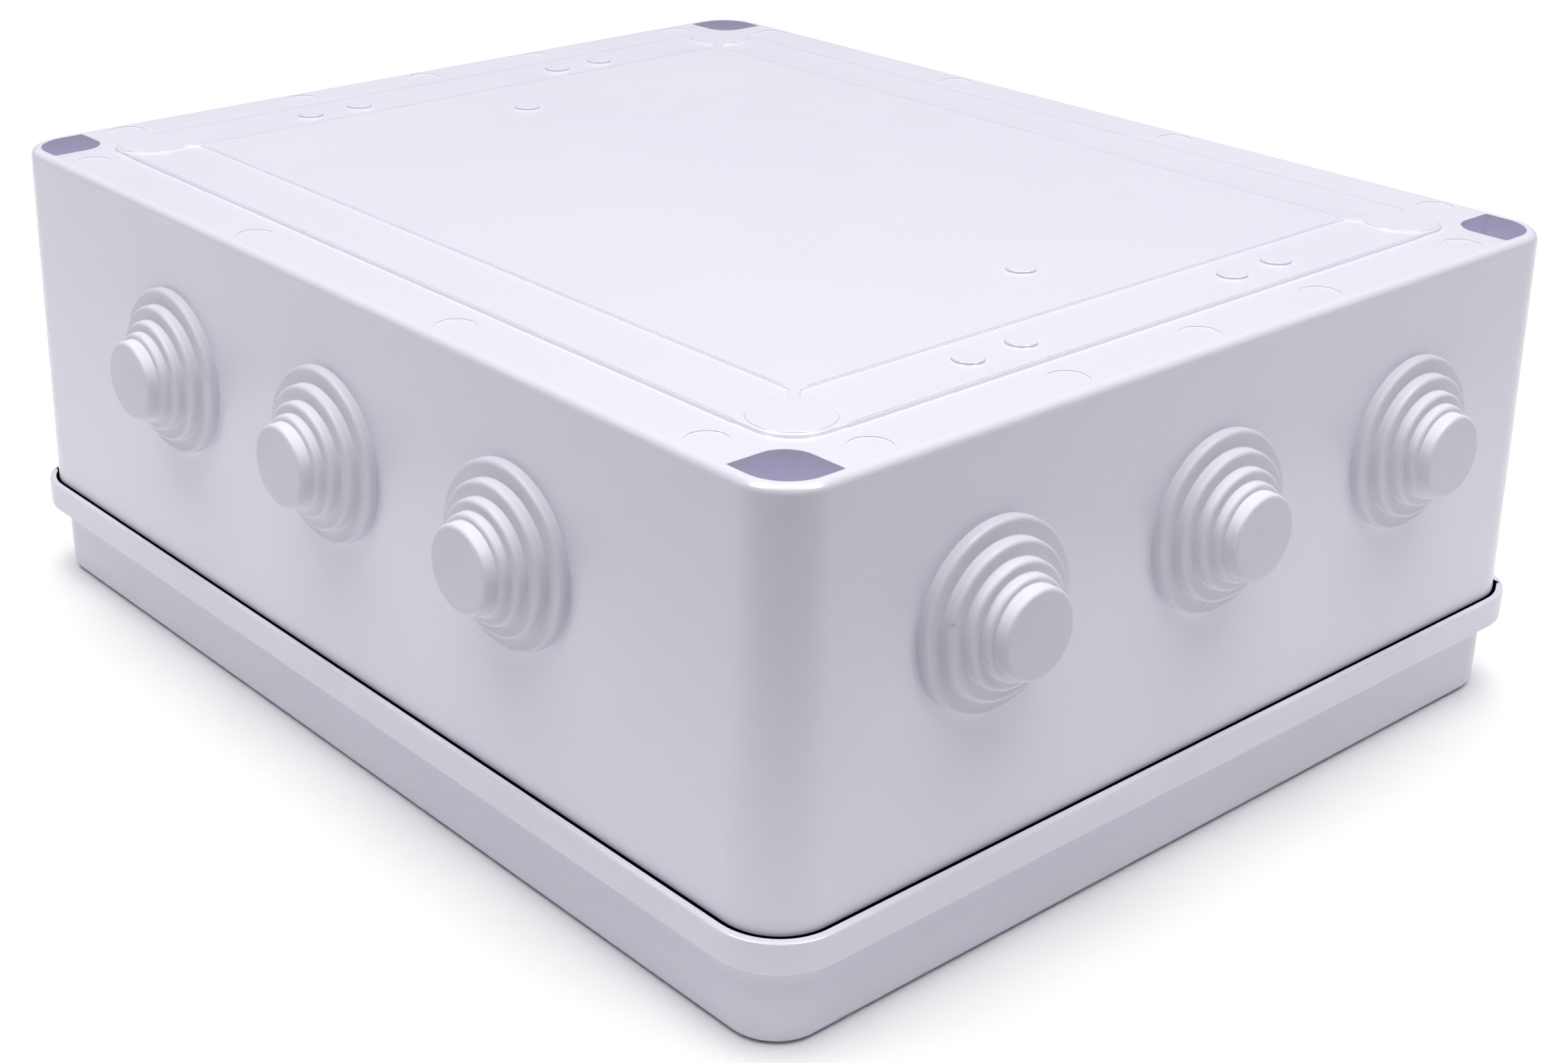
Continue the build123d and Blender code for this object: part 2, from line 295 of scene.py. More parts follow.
base = dict(wall=0.0027, back=0.0027, draft=1.0, cornerRadius=0.0135, backEdge=0.0020, rimEdge=0.0004,
            bandRise=0.0006, panelRise=0.0004, padRise=0.0006, riserEdge=0.00018, riserFoot=0.00006,
            riserLean=0.0003, panelInset=0.034, panelCorner=0.0015, discInset=0.0256, discRadius=0.0092,
            discLedge=0.00054, bandStep=0.0003, bandStepReach=0.0053, bandStepRun=0.0005, neckHalf=0.0011,
            neckFillet=0.0015, hairInset=0.00045, hairWidth=0.0003, hairDepth=0.00022, padRadius=0.0034,
            markRadius=0.0044, markDepth=0.0002, markTaper=0.00005, markInset=0.0074, markEndInset=0.0281,
            markInnerX=0.040, pocketWall=0.0027, pocketSide=0.0148, pocketOuter=0.0093,
            pocketInner=0.0065, pocketCusp=0.0003, pocketLip=0.00025, pocketFloor=0.047,
            pocketFloorThickness=0.0025, columnBoss=0.0050, columnBore=0.00245, columnBoreTop=0.0416,
            pinRadius=0.0034, pinBore=0.0016, pinBoreDepth=0.0125, pinRim=0.0003, pinFillet=0.0004,
            entryHole=0.0175, entrySteps=56, wallArea=0.01, ceilingGap=0.01)
mouthX, mouthY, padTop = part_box("base_shell")[1]
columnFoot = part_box("base_shell")[0].z
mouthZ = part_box("cover_gasket")[1].z
borderZ = padTop - base["bandRise"] - base["panelRise"] - base["padRise"]
bandZ = borderZ + base["bandRise"]
panelZ = bandZ + base["panelRise"]
ceilingZ = borderZ - base["back"]
drop = tan(radians(base["draft"]))
backX = mouthX - (borderZ - mouthZ) * drop
backY = mouthY - (borderZ - mouthZ) * drop
discX, discY = backX - base["discInset"], backY - base["discInset"]
screwLow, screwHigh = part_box("cover_screw_front_right")
screwX, screwY = abs(screwLow.x + screwHigh.x) / 2, abs(screwLow.y + screwHigh.y) / 2


def wallAt(z, inset=0.0, extra=None):
    # the side walls' outline at a height; extra gives the two points that a corner path may leave and join at
    lean = (z - mouthZ) * drop + inset
    radius = base["cornerRadius"] - lean
    halfX, halfY = mouthX - lean, mouthY - lean
    arcs = [(halfX - radius, halfY - radius, radius, 0, 90, 14)]
    if extra:
        arcs = [cornerPoint(halfX, extra[1])] + arcs + [cornerPoint(extra[0], halfY)]
    return allCorners(arcs)


def bandOutline(grow):
    reach, run = base["bandStepReach"], base["bandStepRun"]
    radius = base["discRadius"] + grow
    wide = radius + base["bandStep"]
    return allCorners([cornerPoint(discX + wide, discY - reach),
                       cornerPoint(discX + radius, discY - reach + run),
                       (discX, discY, radius, 0, 90, 16),
                       cornerPoint(discX - reach + run, discY + radius),
                       cornerPoint(discX - reach, discY + wide)])


def panelOutline(grow):
    # middle panel, with a neck to the disc in each corner; the neck's ends are hollow curves
    half, fillet = base["neckHalf"], base["neckFillet"]
    radius = base["discRadius"] - base["discLedge"]
    panelX, panelY = backX - base["panelInset"], backY - base["panelInset"]
    lean = degrees(asin((half + fillet) / (radius + fillet)))
    diagonal = 225
    arcs = []
    sideX = panelX + fillet
    arcs.append((sideX, discY + sideX - discX - sqrt(2) * (half + fillet), fillet - grow, 180, -45, 4))
    for angle, start in ((diagonal + lean, 135), (diagonal - lean, 45 - lean)):
        centre = (discX + (radius + fillet) * cos(radians(angle)),
                  discY + (radius + fillet) * sin(radians(angle)))
        arcs.append((*centre, fillet - grow, start, lean - 90, 6))
    arcs.insert(2, (discX, discY, radius + grow, diagonal + lean, 360 - 2 * lean, 48))
    sideY = panelY + fillet
    arcs.append((discX + sideY - discY - sqrt(2) * (half + fillet), sideY, fillet - grow, -45, -45, 4))
    return allCorners(arcs)


def pocketOutline(sx, sy, grow):
    halfSide = base["pocketSide"] / 2
    middle = base["pocketWall"] + halfSide
    arcs = []
    for px, py, start in ((1, 1, 0), (-1, 1, 90), (-1, -1, 180), (1, -1, 270)):
        radius = base["pocketCusp"]
        if (px, py) == (sx, sy):
            radius = base["pocketOuter"]
        elif (px, py) == (-sx, -sy):
            radius = base["pocketInner"]
        centre = (sx * (backX - middle) + px * (halfSide - radius),
                  sy * (backY - middle) + py * (halfSide - radius))
        arcs.append((*centre, radius + grow, start, 90, 12 if radius > base["pocketCusp"] else 2))
    return arcs


def raisedPad(bm, x, y, foot):
    top = foot + base["padRise"]
    curve = base["riserFoot"]
    levels = [(base["padRadius"] + curve, foot), (base["padRadius"], foot + curve)]
    levels += [(base["padRadius"] + grow, z) for grow, z in roundOff(base["riserEdge"], top)]
    rings = pipe(bm, x, y, levels)
    fillFlat(bm, rings[-1:])
    return rings[0]


def hairGrooves(bm, sideX, sideY, endX, endY, top):
    # a fine groove just inside each straight edge of a low step
    depth, width = base["hairDepth"], base["hairWidth"]
    x, y = sideX - base["hairInset"], sideY - base["hairInset"]
    loops = []
    for s in (-1, 1):
        for lowX, highX, lowY, highY in ((s * x - width / 2, s * x + width / 2, -endY, endY),
                                         (-endX, endX, s * y - width / 2, s * y + width / 2)):
            levels = []
            for inset, z in ((0.0, top), (0.3 * width, top - depth)):
                spots = ((highX - inset, highY - inset), (lowX + inset, highY - inset),
                         (lowX + inset, lowY + inset), (highX - inset, lowY + inset))
                levels.append(([cornerPoint(*spot) for spot in spots], z))
            rings = loft(bm, levels)
            fillFlat(bm, rings[-1:])
            loops.append(rings[0])
    return loops


def riser(bm, outline, foot, top):
    # outer loop, inner loop of a low step with a leaning side and a rounded edge
    levels = [(outline(base["riserLean"]), foot)]
    levels += [(outline(grow), z) for grow, z in roundOff(base["riserEdge"], top, steps=4)]
    loops = loft(bm, levels)
    return loops[0], loops[-1]


def hollowPin(bm, x, y, radius, root, foot, bore, boreTop):
    # round boss that hangs from a face, open at its foot
    rim, fillet = base["pinRim"], base["pinFillet"]
    levels = [(radius + fillet, root), (radius, root - fillet), (radius, foot + rim), (radius - rim, foot),
              (bore + rim, foot), (bore, foot + rim), (bore, boreTop)]
    rings = pipe(bm, x, y, levels)
    fillFlat(bm, rings[-1:])
    return rings[0]


def openEntries(bm):
    # cuts the round holes through the flat stretch of each wall, outside and inside, and joins them
    flats = [face for face in bm.faces if face.calc_area() > base["wallArea"] and abs(face.normal.z) < 0.5
             and abs(face.calc_center_median().z - ceilingZ) > base["ceilingGap"]]
    rings = {}
    for face in flats:
        middle = face.calc_center_median()
        if abs(middle.x) > abs(middle.y):
            side = "left" if middle.x < 0 else "right"
        else:
            side = "front" if middle.y < 0 else "rear"
        rim, normal, corner = list(face.edges), face.normal.copy(), face.verts[0].co.copy()
        bmesh.ops.delete(bm, geom=[face], context="FACES_ONLY")
        loops = [rim]
        for number in (1, 2, 3):
            tip, axis = mounts[f"cable_entry_{side}_{number}"]
            centre = tip + axis * ((corner - tip).dot(normal) / axis.dot(normal))
            place = Matrix.Translation(centre) @ axis.to_track_quat("Z", "Y").to_matrix().to_4x4()
            ring = bmesh.ops.create_circle(bm, segments=base["entrySteps"], radius=base["entryHole"],
                                           matrix=place)
            edges = list({edge for v in ring["verts"] for edge in v.link_edges})
            loops.append(edges)
            rings.setdefault((side, number), []).append(edges)
        fillFlat(bm, loops, axis)
    for pair in rings.values():
        bridge(bm, pair)


def makeBaseShell():
    bm = bmesh.new()
    rim, edge = base["rimEdge"], base["backEdge"]
    outer = [(wallAt(mouthZ, rim), mouthZ), (wallAt(mouthZ + rim), mouthZ + rim)]
    outer += [(wallAt(z, -grow), z) for grow, z in roundOff(edge, borderZ, steps=7)]
    outerLoops = loft(bm, outer)

    # border: pockets, marks and the foot of the band
    borderLoops = [outerLoops[-1]]
    lip = base["pocketLip"]
    for sx, sy in corners.values():
        loops = loft(bm, [(pocketOutline(sx, sy, grow), z)
                          for grow, z in ((lip, borderZ), (0.3 * lip, borderZ - 0.3 * lip),
                                          (0.0, borderZ - lip), (0.0, base["pocketFloor"]))])
        borderLoops.append(loops[0])
        fillFlat(bm, loops[-1:])
    markX, markY = backX - base["markInset"], backY - base["markInset"]
    endX, endY = backX - base["markEndInset"], backY - base["markEndInset"]
    marks = [(s * markX, t * endY) for s in (-1, 1) for t in (-1, -1 / 3, 1 / 3, 1)]
    innerMark = base["markInnerX"]
    marks += [(u, s * markY) for s in (-1, 1) for u in (-endX, -innerMark, 0, innerMark, endX)]
    for x, y in marks:
        rings = pipe(bm, x, y, [(base["markRadius"], borderZ),
                                (base["markRadius"] - base["markTaper"], borderZ - base["markDepth"])])
        borderLoops.append(rings[0])
        fillFlat(bm, rings[-1:])
    bandSide = discX + base["discRadius"] + base["bandStep"], discY + base["discRadius"] + base["bandStep"]
    bandFoot, bandTop = riser(bm, bandOutline, borderZ, bandZ)
    fillFlat(bm, borderLoops + [bandFoot])

    # band top, middle panel and their pads
    innerX, outerX, pinY = pinPlaces()
    railY = mounts["back_pads"][0].y
    bandReach = discX - base["bandStepReach"], discY - base["bandStepReach"]
    bandLoops = [bandTop] + hairGrooves(bm, *bandSide, *bandReach, bandZ)
    pinSpots = [(sx * x, sy * pinY) for x in (innerX, outerX) for sx, sy in corners.values()]
    bandLoops += [raisedPad(bm, x, y, bandZ) for x, y in pinSpots]
    panelFoot, panelTop = riser(bm, panelOutline, bandZ, panelZ)
    fillFlat(bm, bandLoops + [panelFoot])
    panelX, panelY = backX - base["panelInset"], backY - base["panelInset"]
    short = 2 * base["neckHalf"] + base["neckFillet"]
    panelLoops = [panelTop] + hairGrooves(bm, panelX, panelY, panelX - short, panelY - short, panelZ)
    fillFlat(bm, panelLoops + [raisedPad(bm, 0, s * railY, panelZ) for s in (-1, 1)])

    # inside: mouth to the foot of the corner columns, then up between them to the ceiling
    columnSide = 2 * base["pocketWall"] + base["pocketSide"]
    columnX, columnY = backX - columnSide, backY - columnSide
    footZ = base["pocketFloor"] - base["pocketFloorThickness"]
    wall = base["wall"]
    inside = [(wallAt(mouthZ, wall - rim, (columnX, columnY)), mouthZ),
              (wallAt(mouthZ + rim, wall, (columnX, columnY)), mouthZ + rim)]
    insideLoops = loft(bm, inside)
    bmesh.ops.bridge_loops(bm, edges=outerLoops[0] + insideLoops[0])
    notch = columnNotch(columnX, columnY)
    ledge = cornerDetours(bm, wallAt(footZ, wall, (columnX, columnY)), footZ, 17, notch,
                          lambda sx, sy: hollowPin(bm, sx * screwX, sy * screwY, base["columnBoss"], footZ,
                                                   columnFoot, base["columnBore"], base["columnBoreTop"]))
    bmesh.ops.bridge_loops(bm, edges=insideLoops[-1] + ledge["plain"])
    ceilingX = mouthX - (ceilingZ - mouthZ) * drop - wall
    ceilingY = mouthY - (ceilingZ - mouthZ) * drop - wall
    ceilingArcs = allCorners([cornerPoint(ceilingX, columnY)] + notch + [cornerPoint(columnX, ceilingY)])
    ceiling = addOutline(bm, ceilingArcs, ceilingZ)
    bmesh.ops.bridge_loops(bm, edges=ledge["detour"] + ceiling)
    pinFoot = mounts["rail_bosses"][0].z
    pins = pinSpots + [(0, railY), (0, -railY)]
    fillFlat(bm, [ceiling] + [hollowPin(bm, x, y, base["pinRadius"], ceilingZ, pinFoot, base["pinBore"],
                                        pinFoot + base["pinBoreDepth"]) for x, y in pins])
    bm.normal_update()
    openEntries(bm)
    return finishPiece(bm, "shell_moulding", shellFinish, "base", ["base_shell"])


def pinPlaces():
    dims = {m["name"]: m["dims"] for m in frame["record"]["mounts"]}
    inner, outer = dims["plate_bosses_inner"], dims["plate_bosses_outer"]
    return inner["spacing_x_mm"] / 2000, outer["spacing_x_mm"] / 2000, inner["spacing_y_mm"] / 2000


def columnNotch(columnX, columnY):
    radius = base["pocketInner"]
    return [(columnX + radius, columnY + radius, radius, 270, -90, 10)]


def cornerDetours(bm, arcs, z, runLength, notch, holeAt, first=0):
    # two outlines at one height that share their straight stretches: the plain one, and one that goes round
    # a block in each corner. The face between them is filled, with a hole in it.
    verts = addRun(bm, arcs, z)
    plain = joinRun(bm, verts + verts[:1])
    perCorner = len(verts) // 4
    detour = []
    for i, (sx, sy) in enumerate(corners.values()):
        run = verts[i * perCorner:(i + 1) * perCorner]
        start, end = run[first], run[first + runLength - 1]
        corner = run[first:first + runLength]
        path = addRun(bm, turned(notch, sx, sy), z)
        joined = joinRun(bm, [start] + path + [end])
        after = verts[((i + 1) * perCorner) % len(verts)]
        detour += joinRun(bm, run[:first + 1]) + joined + joinRun(bm, run[first + runLength - 1:] + [after])
        fillFlat(bm, [joinRun(bm, corner), joined, holeAt(sx, sy)])
    return {"plain": plain, "detour": detour}


grommet = dict(steps=((0.0201, 0.0024), (0.0164, 0.0050), (0.01315, 0.0074), (0.0108, 0.0096),
                      (0.00945, 0.0127)),
               lip=0.00095, wall=0.0014, neck=0.01735, tail=0.0190, tailTaper=0.0011, tailLength=0.0025,
               holeDepth=0.0027, around=72, valley=0.00022)


def makeGrommet(side, number):
    # the section is drawn in the XZ plane, its corners rounded, then spun about Z
    bm = bmesh.new()
    steps, wall, neck = grommet["steps"], grommet["wall"], grommet["neck"]
    tailEnd = -grommet["holeDepth"] - grommet["tailLength"]
    section, lips, valleys = [(0.0, steps[-1][1])], [], []
    feet = [0.0] + [top for _, top in steps[:-1]]
    for (radius, top), foot in reversed(list(zip(steps, feet))):
        lips.append(len(section))
        section.append((radius, top))
        if foot > 0:
            valleys.append(len(section))
        section.append((radius, foot))
    section += [(neck, 0.0), (neck, -grommet["holeDepth"]), (grommet["tail"], -grommet["holeDepth"]),
                (grommet["tail"] - grommet["tailTaper"], tailEnd), (neck - wall, tailEnd)]
    for i, (radius, top) in enumerate(steps):
        after = min(steps[i + 1][0], neck) - wall if i < len(steps) - 1 else 0.0
        section += [(min(radius, neck) - wall, top - wall), (after, top - wall)]
    verts = [bmesh.ops.create_vert(bm, co=(r, 0, h))["vert"][0] for r, h in section]
    joinRun(bm, verts)
    bmesh.ops.bevel(bm, geom=[verts[i] for i in valleys], offset=grommet["valley"], affect="VERTICES",
                    segments=3, profile=0.5, material=-1)
    bmesh.ops.bevel(bm, geom=[verts[i] for i in lips], offset=grommet["lip"], affect="VERTICES", segments=6,
                    profile=0.5, material=-1)
    bmesh.ops.spin(bm, geom=bm.verts[:] + bm.edges[:], cent=(0, 0, 0), axis=(0, 0, 1), angle=2 * pi,
                   steps=grommet["around"], use_merge=True)
    bmesh.ops.remove_doubles(bm, verts=bm.verts, dist=1e-6)
    tip, axis = mounts[f"cable_entry_{side}_{number}"]
    foot = tip - axis * steps[-1][1]
    place = Matrix.Translation(foot) @ axis.to_track_quat("Z", "Y").to_matrix().to_4x4()
    bmesh.ops.transform(bm, matrix=place, verts=bm.verts)
    return finishPiece(bm, f"stepped_grommet_{side}_{number}", grommetFinish, "base",
                       [f"grommet_{side}_{number}"])


cover = dict(cornerRadius=0.016, faceInset=0.0044, faceEdge=0.0022, faceThickness=0.0028, skirtFoot=0.019,
             skirtWall=0.002, skirtEdge=0.0005, flangeTop=0.0214, ribInset=0.0057, ribWall=0.0015,
             ribTop=0.0256, ribEdge=0.0004, wellRadius=0.0070, wellTop=0.0220, wellBore=0.0052,
             wellRim=0.0003, seat=0.0195, screwHole=0.0026, footFillet=0.0006, footStart=(0.0002, 0.0001),
             skirtInnerEdge=0.0003, cornerSteps=14)


def makeCover():
    bm = bmesh.new()
    coverX, coverY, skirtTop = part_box("cover")[1]

    def coverAt(inset, z):
        radius = cover["cornerRadius"] - inset
        return roundedBox(coverX - inset, coverY - inset, radius, cover["cornerSteps"]), z

    face, foot, wall = cover["faceInset"], cover["skirtFoot"], cover["skirtWall"]
    edge, ribEdge, ribIn = cover["skirtEdge"], cover["ribEdge"], cover["ribInset"] + cover["ribWall"]
    faceEdge, fillet, inner = cover["faceEdge"], cover["footFillet"], cover["skirtInnerEdge"]
    startIn, startDown = cover["footStart"]
    levels = [coverAt(face - grow, faceEdge - z) for grow, z in roundOff(faceEdge, faceEdge, steps=7)][::-1]
    levels += [coverAt(face, foot - fillet), coverAt(face - startIn, foot - startDown),
               coverAt(face - fillet, foot)]
    levels += [coverAt(-grow, foot + (skirtTop - z)) for grow, z in roundOff(edge, skirtTop, steps=4)][::-1]
    levels += [coverAt(-grow, z) for grow, z in roundOff(edge, skirtTop, steps=4)]
    levels += [coverAt(wall - inner, skirtTop), coverAt(wall, skirtTop - inner),
               coverAt(wall, cover["flangeTop"]), coverAt(cover["ribInset"], cover["flangeTop"])]
    levels += [coverAt(cover["ribInset"] - grow, z) for grow, z in roundOff(ribEdge, cover["ribTop"])]
    levels += [coverAt(ribIn + grow, z) for grow, z in roundOff(ribEdge, cover["ribTop"])[::-1]]
    loops = loft(bm, levels)

    # the wells stand in the corners and run into the rib
    ribX, ribY, ribRadius = coverX - ribIn, coverY - ribIn, cover["cornerRadius"] - ribIn
    centreX, centreY = ribX - ribRadius, ribY - ribRadius
    apart = hypot(screwX - centreX, screwY - centreY)
    along = (ribRadius ** 2 - cover["wellRadius"] ** 2 + apart ** 2) / (2 * apart)
    meet = degrees(asin(sqrt(ribRadius ** 2 - along ** 2) / ribRadius))
    onWell = degrees(atan2(sqrt(ribRadius ** 2 - along ** 2), along - apart))
    arcBefore = (centreX, centreY, ribRadius, 0, 45 - meet, 2)
    arcAfter = (centreX, centreY, ribRadius, 45 + meet, 45 - meet, 2)
    plain = allCorners([arcBefore, (centreX, centreY, ribRadius, 47 - meet, 2 * meet - 4, 10), arcAfter])
    aroundWell = 360 - 2 * onWell
    wellArc = (screwX, screwY, cover["wellRadius"], 45 - onWell - aroundWell / 40, -aroundWell * 38 / 40, 30)

    def screwWell(sx, sy):
        x, y, rim = sx * screwX, sy * screwY, cover["wellRim"]
        rings = pipe(bm, x, y, [(cover["screwHole"], cover["wellTop"]), (cover["screwHole"], cover["seat"]),
                                (cover["wellBore"], cover["seat"]), (cover["wellBore"], rim),
                                (cover["wellBore"] + rim, 0.0)])
        faceLoops.append(rings[-1])
        return rings[0]

    faceLoops = [loops[0]]
    top = cornerDetours(bm, plain, cover["wellTop"], 13, [wellArc], screwWell, first=2)
    bmesh.ops.bridge_loops(bm, edges=loops[-1] + top["plain"])
    floor = addOutline(bm, allCorners([arcBefore, wellArc, arcAfter]), cover["faceThickness"])
    bmesh.ops.bridge_loops(bm, edges=top["detour"] + floor)
    fillFlat(bm, [floor])
    fillFlat(bm, faceLoops)
    return finishPiece(bm, "cover_moulding", coverFinish, "cover", ["cover"])


gasket = dict(cornerRadius=0.016, innerInset=0.0054, edge=0.0005)
washer = dict(bore=0.0025, edge=0.0003)
screw = dict(thread=0.0024, core=0.00185, pitch=0.003, headEdge=0.0005, slotWidth=0.0012, slotDepth=0.0018,
             slotRim=0.0012, tipLength=0.0010, tipTaper=0.0009, threadSunk=0.0002, ridgeFoot=0.0007,
             ridgeTop=0.00015, threadStart=0.0022, threadLeft=0.0035, around=24)


def makeGasket():
    bm = bmesh.new()
    low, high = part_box("cover_gasket")
    coverX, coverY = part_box("cover")[1].x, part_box("cover")[1].y
    outerInset, edge = coverX - high.x, gasket["edge"]
    section = [(outerInset - grow, z) for grow, z in roundOff(edge, high.z)]
    section += [(gasket["innerInset"] + grow, z) for grow, z in roundOff(edge, high.z)[::-1]]
    section += [(inset, low.z + high.z - z) for inset, z in section[::-1]]
    loops = loft(bm, [(roundedBox(coverX - inset, coverY - inset, gasket["cornerRadius"] - inset), z)
                      for inset, z in section])
    bmesh.ops.bridge_loops(bm, edges=loops[-1] + loops[0])
    return finishPiece(bm, "rim_gasket", gasketFinish, "cover", ["cover_gasket"])


def makeWasher(name):
    bm = bmesh.new()
    low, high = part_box("screw_seal_" + name)
    x, y, outer = (low.x + high.x) / 2, (low.y + high.y) / 2, (high.x - low.x) / 2
    section = [(outer + grow, z) for grow, z in roundOff(washer["edge"], high.z)]
    section += [(washer["bore"] - grow, z) for grow, z in roundOff(washer["edge"], high.z)[::-1]]
    section += [(radius, low.z + high.z - z) for radius, z in section[::-1]]
    rings = pipe(bm, x, y, section)
    bmesh.ops.bridge_loops(bm, edges=rings[-1] + rings[0])
    return finishPiece(bm, "screw_washer_" + name, sealFinish, "screw_seal_" + name, ["screw_seal_" + name])


def makeScrew(name):
    bm = bmesh.new()
    low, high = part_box("cover_screw_" + name)
    x, y, head = (low.x + high.x) / 2, (low.y + high.y) / 2, (high.x - low.x) / 2
    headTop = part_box("screw_seal_" + name)[0].z
    core, edge = screw["core"], screw["headEdge"]

    # head, with a cross recess in its foot, and the core of the shank
    half, reach = screw["slotWidth"] / 2, head - screw["slotRim"]
    cross = [cornerPoint(x + px, y + py) for px, py in
             ((reach, -half), (reach, half), (half, half), (half, reach), (-half, reach), (-half, half),
              (-reach, half), (-reach, -half), (-half, -half), (-half, -reach), (half, -reach),
              (half, -half))]
    recess = loft(bm, [(cross, low.z), (cross, low.z + screw["slotDepth"])])
    fillFlat(bm, recess[-1:])
    outside = [(head + grow, low.z + headTop - z) for grow, z in roundOff(edge, headTop)][::-1]
    outside += [(head, headTop), (core, headTop), (core, high.z - screw["tipLength"]),
                (core - screw["tipTaper"], high.z)]
    rings = pipe(bm, x, y, outside, screw["around"] * 2)
    fillFlat(bm, [rings[0], recess[0]])
    fillFlat(bm, rings[-1:])

    # thread: a ridge carried up the shank
    turns = int((high.z - headTop - screw["threadLeft"]) / screw["pitch"])
    foot, root = headTop + screw["threadStart"], core - screw["threadSunk"]
    ridge = [(root, -screw["ridgeFoot"]), (screw["thread"], -screw["ridgeTop"]),
             (screw["thread"], screw["ridgeTop"]), (root, screw["ridgeFoot"])]
    verts = [bmesh.ops.create_vert(bm, co=(x + r, y, foot + h))["vert"][0] for r, h in ridge]
    start = bmesh.ops.contextual_create(bm, geom=verts)["faces"]
    steps = turns * screw["around"]
    bmesh.ops.spin(bm, geom=start + verts + list(start[0].edges), cent=(x, y, foot), axis=(0, 0, 1),
                   dvec=(0, 0, screw["pitch"] / screw["around"]), angle=2 * pi * turns, steps=steps)
    bmesh.ops.holes_fill(bm, edges=[edge for edge in bm.edges if edge.is_boundary], sides=4)
    return finishPiece(bm, "threaded_screw_" + name, screwFinish, "cover_screw_" + name,
                       ["cover_screw_" + name], 30)


makeBaseShell()
for side in sides:
    for number in (1, 2, 3):
        makeGrommet(side, number)
makeCover()
makeGasket()
for name in corners:
    makeWasher(name)
    makeScrew(name)
print("pieces made")


camera = dict(place=(-0.37028, -0.41645, 0.27861), azimuth=-40.64, elevation=23.12, roll=0.41, lens=54.46,
              shift=(0.0503, -0.0393))
studio = dict(floorSize=12.0, floorDrop=0.0002, floorColour=(0.93, 0.93, 0.94),
              clothColour=(0.24, 0.24, 0.28), bareCentre=(1.8, 2.2), bareReach=3.08, bareEdge=0.22,
              skyColour=(0.72, 0.71, 1.0), skyStrength=(0.02, 0.24), skyFade=(0.9, 0.3), sunStrength=3.6,
              sunColour=(1.0, 0.995, 0.925), sunSpread=64, stripSize=(0.04, 0.30), stripPower=16.0,
              stripWays=((0.269, -0.481, 0.834), (-0.517, 0.193, 0.834)), stripApart=0.9)


def makeCamera():
    data = bpy.data.cameras.new("camera")
    data.lens, data.sensor_width = camera["lens"], 36
    data.shift_x, data.shift_y = camera["shift"]
    data.clip_start, data.clip_end = 0.02, 50
    made = bpy.data.objects.new("camera", data)
    bpy.context.scene.collection.objects.link(made)
    turn = Matrix.Rotation(radians(camera["azimuth"]), 4, "Z")
    turn @= Matrix.Rotation(radians(90 - camera["elevation"]), 4, "X")
    turn @= Matrix.Rotation(radians(camera["roll"]), 4, "Z")
    made.matrix_world = Matrix.Translation(camera["place"]) @ turn
    bpy.context.scene.camera = made


def floorSheet(name, height, material):
    bm = bmesh.new()
    bmesh.ops.create_grid(bm, x_segments=2, y_segments=2, size=studio["floorSize"] / 2)
    bmesh.ops.translate(bm, vec=(0, 0, cadBox[0].z - height), verts=bm.verts)
    mesh = bpy.data.meshes.new(name)
    bm.to_mesh(mesh)
    bm.free()
    mesh.materials.append(material)
    sheet = bpy.data.objects.new(name, mesh)
    bpy.context.scene.collection.objects.link(sheet)
    return sheet


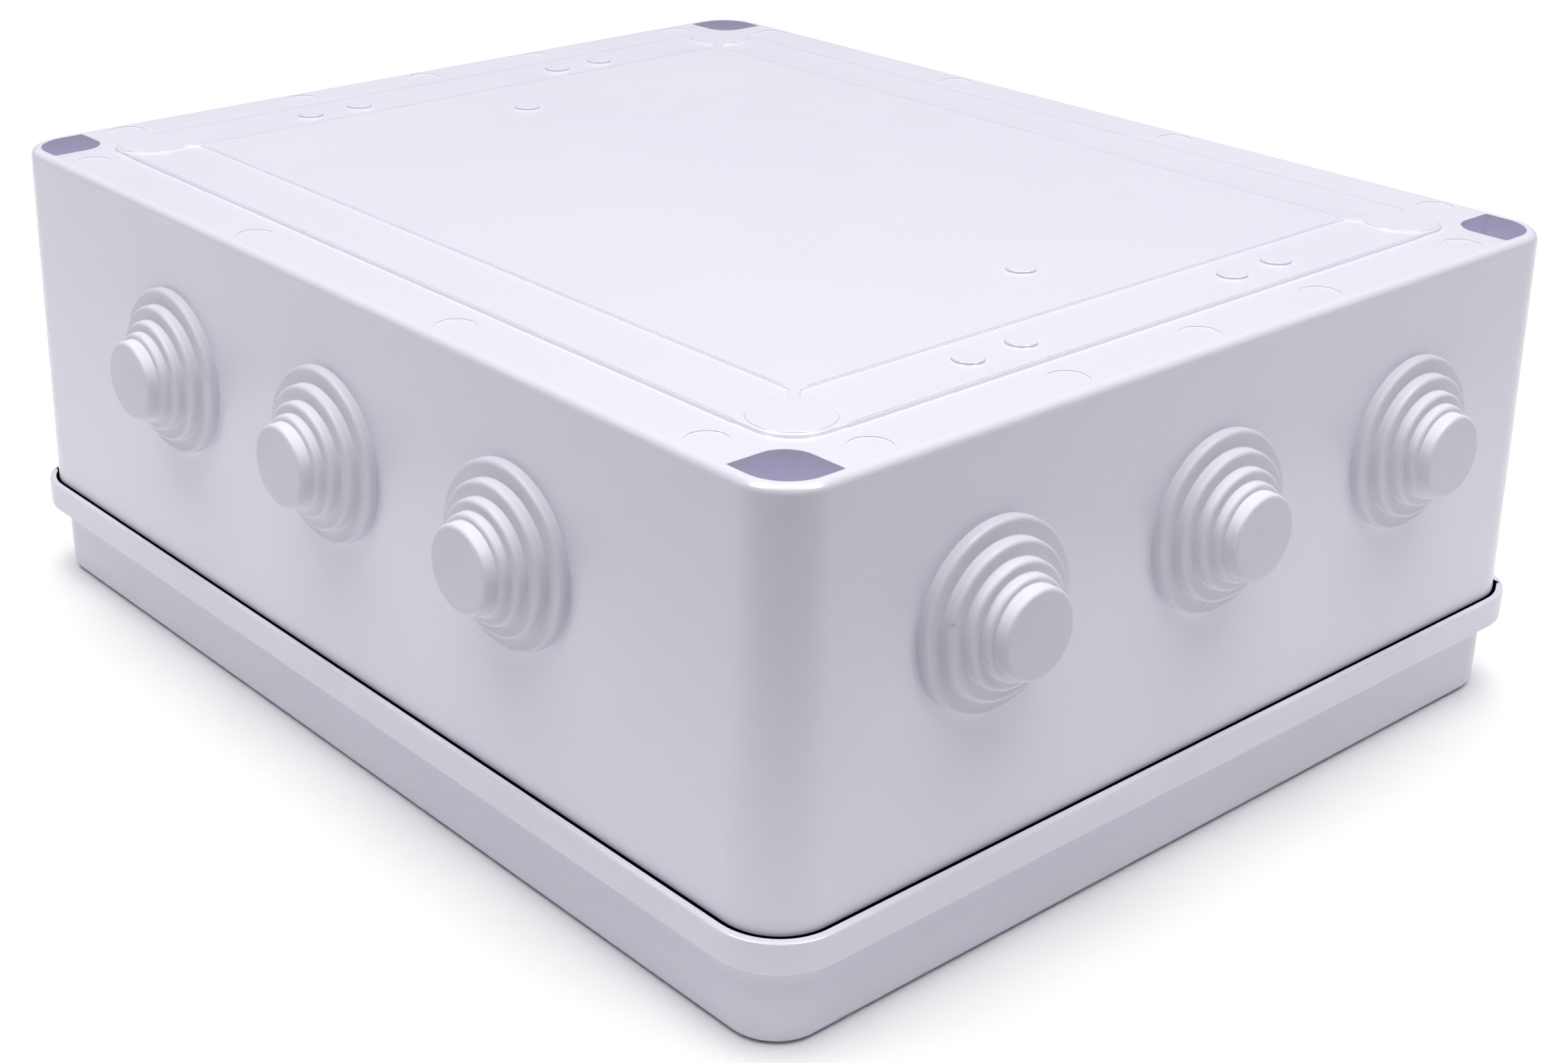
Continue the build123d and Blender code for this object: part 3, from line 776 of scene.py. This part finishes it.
def makeFloor():
    material = bpy.data.materials.new("pale_floor")
    material.use_nodes = True
    shader = material.node_tree.nodes["Principled BSDF"]
    shader.inputs["Base Color"].default_value = (*studio["floorColour"], 1)
    shader.inputs["Roughness"].default_value = 1.0
    shader.inputs["Specular IOR Level"].default_value = 0.0
    floorSheet("floor", studio["floorDrop"], material)

    # a dark cloth on the floor away from the object, unseen itself, keeps floor light off two of the walls
    material = bpy.data.materials.new("dark_cloth")
    material.use_nodes = True
    nodes, links = material.node_tree.nodes, material.node_tree.links
    cloth, mix = nodes["Principled BSDF"], nodes.new("ShaderNodeMixShader")
    clear = nodes.new("ShaderNodeBsdfTransparent")
    cloth.inputs["Base Color"].default_value = (*studio["clothColour"], 1)
    cloth.inputs["Roughness"].default_value = 1.0
    cloth.inputs["Specular IOR Level"].default_value = 0.0
    place = nodes.new("ShaderNodeTexCoord")
    apart = nodes.new("ShaderNodeVectorMath")
    apart.operation = "DISTANCE"
    apart.inputs[1].default_value = (*studio["bareCentre"], 0)
    fade = nodes.new("ShaderNodeMapRange")
    fade.interpolation_type = "SMOOTHSTEP"
    fade.inputs["From Min"].default_value = studio["bareReach"]
    fade.inputs["From Max"].default_value = studio["bareReach"] + studio["bareEdge"]
    links.new(place.outputs["Object"], apart.inputs[0])
    links.new(apart.outputs["Value"], fade.inputs["Value"])
    links.new(fade.outputs["Result"], mix.inputs["Fac"])
    links.new(clear.outputs["BSDF"], mix.inputs[1])
    links.new(cloth.outputs["BSDF"], mix.inputs[2])
    links.new(mix.outputs["Shader"], nodes["Material Output"].inputs["Surface"])
    sheet = floorSheet("dark_cloth", studio["floorDrop"] / 2, material)
    sheet.visible_camera = sheet.visible_shadow = False


def makeLight():
    scene = bpy.context.scene
    scene.view_settings.view_transform = "Standard"
    world = bpy.data.worlds.new("studio")
    world.use_nodes = True
    nodes, links = world.node_tree.nodes, world.node_tree.links
    sky = nodes["Background"]
    sky.inputs["Color"].default_value = (*studio["skyColour"], 1)

    # the room is dark on the camera's side
    place = nodes.new("ShaderNodeTexCoord")
    facing = nodes.new("ShaderNodeVectorMath")
    facing.operation = "DOT_PRODUCT"
    turn = radians(camera["azimuth"])
    facing.inputs[1].default_value = (sin(turn), -cos(turn), 0)
    fade = nodes.new("ShaderNodeMapRange")
    fade.interpolation_type = "SMOOTHSTEP"
    fade.inputs["From Min"].default_value, fade.inputs["From Max"].default_value = studio["skyFade"]
    fade.inputs["To Min"].default_value, fade.inputs["To Max"].default_value = studio["skyStrength"]
    links.new(place.outputs["Generated"], facing.inputs[0])
    links.new(facing.outputs["Value"], fade.inputs["Value"])
    links.new(fade.outputs["Result"], sky.inputs["Strength"])
    scene.world = world

    data = bpy.data.lights.new("overhead", "SUN")
    data.energy, data.color = studio["sunStrength"], studio["sunColour"]
    data.angle = radians(studio["sunSpread"])
    made = bpy.data.objects.new("overhead", data)
    scene.collection.objects.link(made)

    # two strip lights, seen only as glints on rounded edges
    for number, way in enumerate(studio["stripWays"]):
        data = bpy.data.lights.new(f"strip_{number}", "AREA")
        data.shape, data.energy = "RECTANGLE", studio["stripPower"]
        data.size, data.size_y = studio["stripSize"]
        made = bpy.data.objects.new(f"strip_{number}", data)
        aim = Vector(way).to_track_quat("Z", "Y").to_matrix().to_4x4()
        spot = Vector((-mouthX, -mouthY, borderZ)) + Vector(way) * studio["stripApart"]
        made.matrix_world = Matrix.Translation(spot) @ aim
        made.visible_diffuse = False
        scene.collection.objects.link(made)


makeCamera()
makeFloor()
makeLight()
print("camera, floor and light made")
